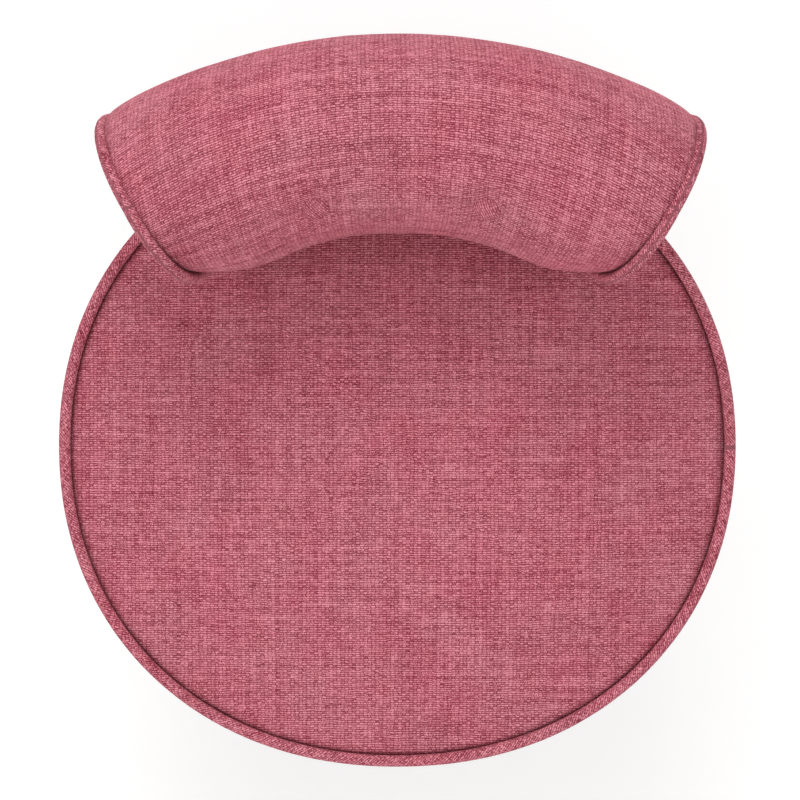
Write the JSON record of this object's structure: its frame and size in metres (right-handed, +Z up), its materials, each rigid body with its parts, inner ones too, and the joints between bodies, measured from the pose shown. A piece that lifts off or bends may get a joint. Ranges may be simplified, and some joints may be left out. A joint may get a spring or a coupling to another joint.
{
  "type": "upholstered swivel chair",
  "caption": "Small round upholstered swivel chair: crowned welted seat, low curved roll back with welted ends and buttons, ball-bearing swivel, splayed tapered wooden legs.",
  "frame": {"origin": "on the floor under the middle of the chair's outline", "axes": "+Z up; the sitter faces -Y, so the back is at +Y; +X to the sitter's left hand"},
  "size_m": [0.52, 0.551, 0.643],
  "materials": {
    "rose_fabric": "matte linen-look weave in dusty rose",
    "dust_cloth": "matte black non-woven cloth",
    "foam": "matte open-cell foam",
    "card": "matte grey-brown card",
    "plywood": "matte birch plywood",
    "hardwood": "matte planed hardwood",
    "walnut": "satin walnut-stained hardwood",
    "black_steel": "satin black powder coat",
    "zinc_steel": "satin zinc-plated steel",
    "glide_plastic": "matte black plastic"
  },
  "bodies": {
    "base": {"base_board": "walnut", "swivel_lower_plate": "zinc_steel", "swivel_pivot_sleeve": "zinc_steel", "leg_front_right": "walnut", "leg_rear_right": "walnut", "leg_rear_left": "walnut", "leg_front_left": "walnut", "leg_plate_front_right": "zinc_steel", "leg_plate_rear_right": "zinc_steel", "leg_plate_rear_left": "zinc_steel", "leg_plate_front_left": "zinc_steel", "hanger_bolt_front_right": "zinc_steel", "hanger_bolt_rear_right": "zinc_steel", "hanger_bolt_rear_left": "zinc_steel", "hanger_bolt_front_left": "zinc_steel", "glide_front_right": "glide_plastic", "glide_rear_right": "glide_plastic", "glide_rear_left": "glide_plastic", "glide_front_left": "glide_plastic", "lower_plate_screw_front_right": "zinc_steel", "lower_plate_screw_rear_right": "zinc_steel", "lower_plate_screw_rear_left": "zinc_steel", "lower_plate_screw_front_left": "zinc_steel"},
    "bearing": {"ball_cage": "zinc_steel"},
    "seat": {"swivel_upper_plate": "zinc_steel", "upper_plate_screw_front_right": "zinc_steel", "upper_plate_screw_rear_right": "zinc_steel", "upper_plate_screw_rear_left": "zinc_steel", "upper_plate_screw_front_left": "zinc_steel", "seat_board": "plywood", "seat_foam": "foam", "seat_cover": "rose_fabric", "seat_band": "rose_fabric", "seat_welt": "rose_fabric", "dust_cover": "dust_cloth", "back_post_left": "hardwood", "back_post_right": "hardwood", "post_bracket_left": "black_steel", "post_bracket_right": "black_steel", "bracket_level_bolt_left": "zinc_steel", "bracket_level_bolt_right": "zinc_steel", "bracket_upright_bolt_left": "zinc_steel", "bracket_upright_bolt_right": "zinc_steel", "back_end_former_left": "plywood", "back_end_former_right": "plywood", "back_end_panel_left": "rose_fabric", "back_end_panel_right": "rose_fabric", "back_welt_left": "rose_fabric", "back_welt_right": "rose_fabric", "back_button_left": "rose_fabric", "back_button_right": "rose_fabric", "back_lower_rail": "plywood", "back_upper_rail": "plywood", "back_middle_former": "plywood", "back_skin": "card", "back_foam": "foam", "back_cover": "rose_fabric"}
  },
  "joints": [
    {"name": "seat_swivel", "type": "hinge", "parent": "base", "child": "seat", "pos_m": [0, -0.0285, 0.3457], "axis": [0, 0, 1], "continuous": true},
    {"name": "bearing_roll", "type": "hinge", "parent": "base", "child": "bearing", "pos_m": [0, -0.0285, 0.3457], "axis": [0, 0, 1], "continuous": true}
  ],
  "couplings": [
    {"joint": "bearing_roll", "follows": "seat_swivel", "ratio": 0.5}
  ]
}
